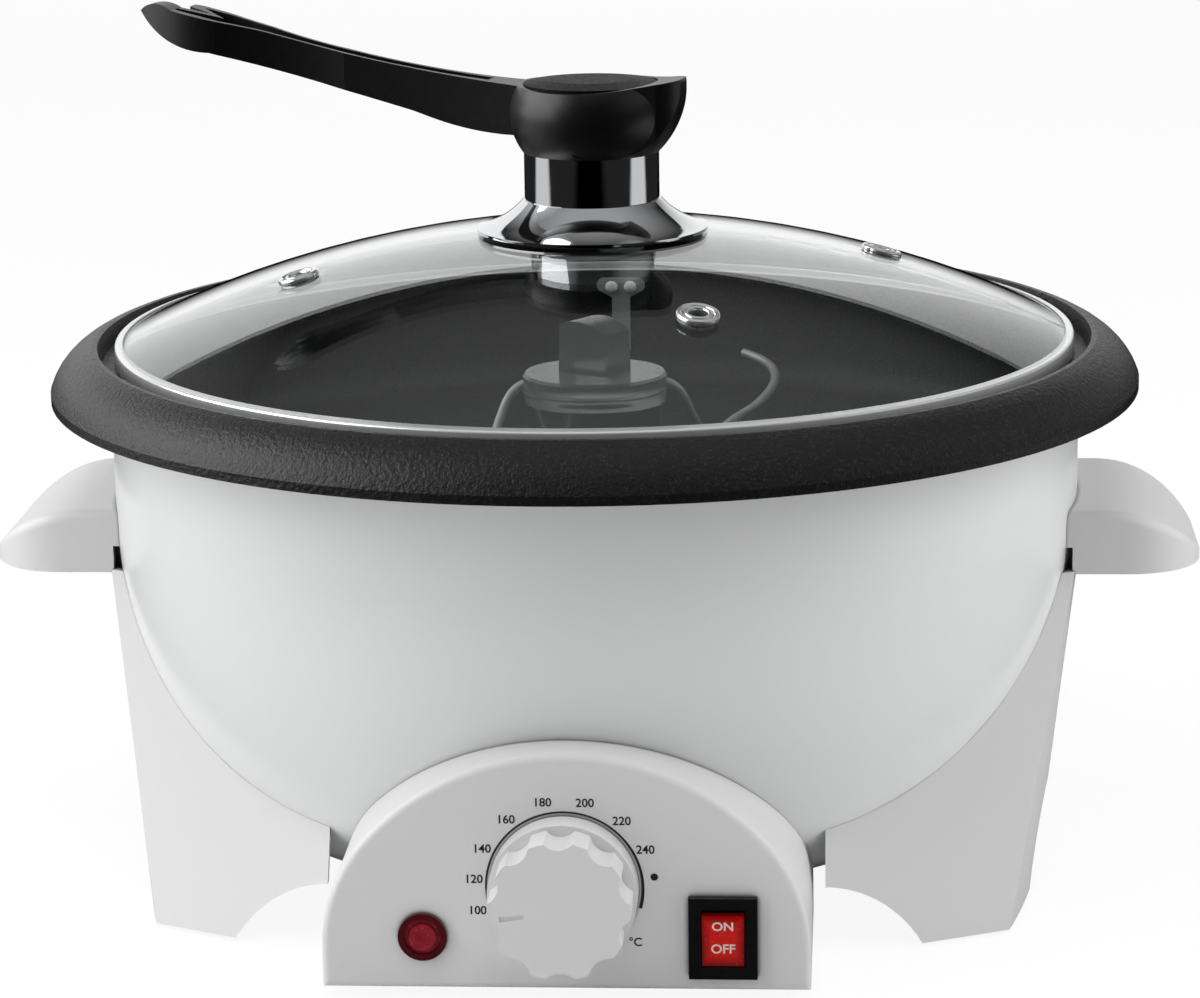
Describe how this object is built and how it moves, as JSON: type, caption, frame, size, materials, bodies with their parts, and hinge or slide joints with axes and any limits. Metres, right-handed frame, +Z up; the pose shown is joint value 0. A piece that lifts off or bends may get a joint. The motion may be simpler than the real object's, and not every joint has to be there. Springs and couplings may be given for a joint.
{
  "type": "home coffee bean roaster",
  "caption": "Countertop electric bean roaster: white bowl on leg handles, wide-rimmed pan with a driven wire stirrer, glass lift-off lid with lever knob, front controls.",
  "frame": {"origin": "on the stirrer's axis, in the plane that the four feet stand on", "axes": "+Z up along the stirrer's axis, the control panel faces -Y, +X to the right seen from the panel"},
  "size_m": [0.3554, 0.3321, 0.2479],
  "materials": {
    "white_enamel": "smooth powder coat",
    "nonstick_coat": "satin non-stick coat",
    "steel": "bright steel",
    "chrome": "polished",
    "lid_glass": "clear tempered",
    "black_rubber": "matte",
    "black_plastic": "fine-grained phenolic",
    "black_gloss": "glossy",
    "white_plastic": "satin moulded",
    "brown_plastic": "phenolic",
    "red_lens": "translucent red",
    "brass": "plain",
    "clear_plastic": "frosted translucent",
    "element_steel": "oxidised",
    "copper_brass": "drawn copper",
    "reflector_aluminium": "bright sheet"
  },
  "bodies": {
    "base": {"bowl_shell": "white_enamel", "cooking_pan": "nonstick_coat", "baffle_strip": "steel", "baffle_rivets": "steel", "right_leg_handle": "white_plastic", "left_leg_handle": "white_plastic", "leg_screws": "steel", "rubber_feet": "black_rubber", "control_housing": "white_plastic", "housing_cover": "white_plastic", "thermostat_body": "brown_plastic", "thermostat_nut": "steel", "lamp_bezel": "black_plastic", "lamp_lens": "red_lens", "switch_frame": "black_plastic", "rocker_pin": "steel", "gearbox_case": "steel", "motor_body": "steel", "motor_bracket": "steel", "motor_screws": "steel", "rod_nuts": "steel", "terminal_block": "white_plastic", "shaft_bush": "brass", "heating_element": "element_steel", "sensor_bulb": "copper_brass", "capillary_tube": "copper_brass", "element_clamps": "steel", "heat_reflector": "reflector_aluminium", "tie_rods": "steel", "bottom_cover": "white_enamel", "cover_screws": "steel", "cord_bush": "black_rubber"},
    "drive": {"drive_shaft": "steel", "retaining_ring": "steel"},
    "stirrer": {"stirrer_hub": "clear_plastic", "stirrer_skirt": "steel", "stirrer_wires": "steel"},
    "lid": {"lid_glass": "lid_glass", "lid_rim_band": "steel", "lid_vent_grommets": "steel", "lid_gasket": "black_rubber", "lid_flange": "chrome", "lid_collar": "chrome", "lid_washer": "steel", "lid_screw": "steel", "lid_handle": "black_plastic", "handle_cap": "black_gloss"},
    "dial": {"temperature_knob": "white_plastic", "thermostat_spindle": "steel"},
    "rocker": {"rocker": "red_lens"}
  },
  "joints": [
    {"name": "shaft_turn", "type": "hinge", "parent": "base", "child": "drive", "pos_m": [0, 0, 0.1], "axis": [0, 0, 1], "continuous": true},
    {"name": "stirrer_lift", "type": "slide", "parent": "drive", "child": "stirrer", "axis": [0, 0, 1], "range_m": [0, 0.02]},
    {"name": "lid_lift", "type": "slide", "parent": "base", "child": "lid", "axis": [0, 0, 1], "range_m": [0, 0.12]},
    {"name": "temperature_turn", "type": "hinge", "parent": "base", "child": "dial", "pos_m": [0, -0.152, 0.032], "axis": [0, -1, 0], "range_deg": [-162, 179]},
    {"name": "rocker_tip", "type": "hinge", "parent": "base", "child": "rocker", "pos_m": [0.0422, -0.1484, 0.0184], "axis": [1, 0, 0], "range_deg": [-18, 0]}
  ]
}
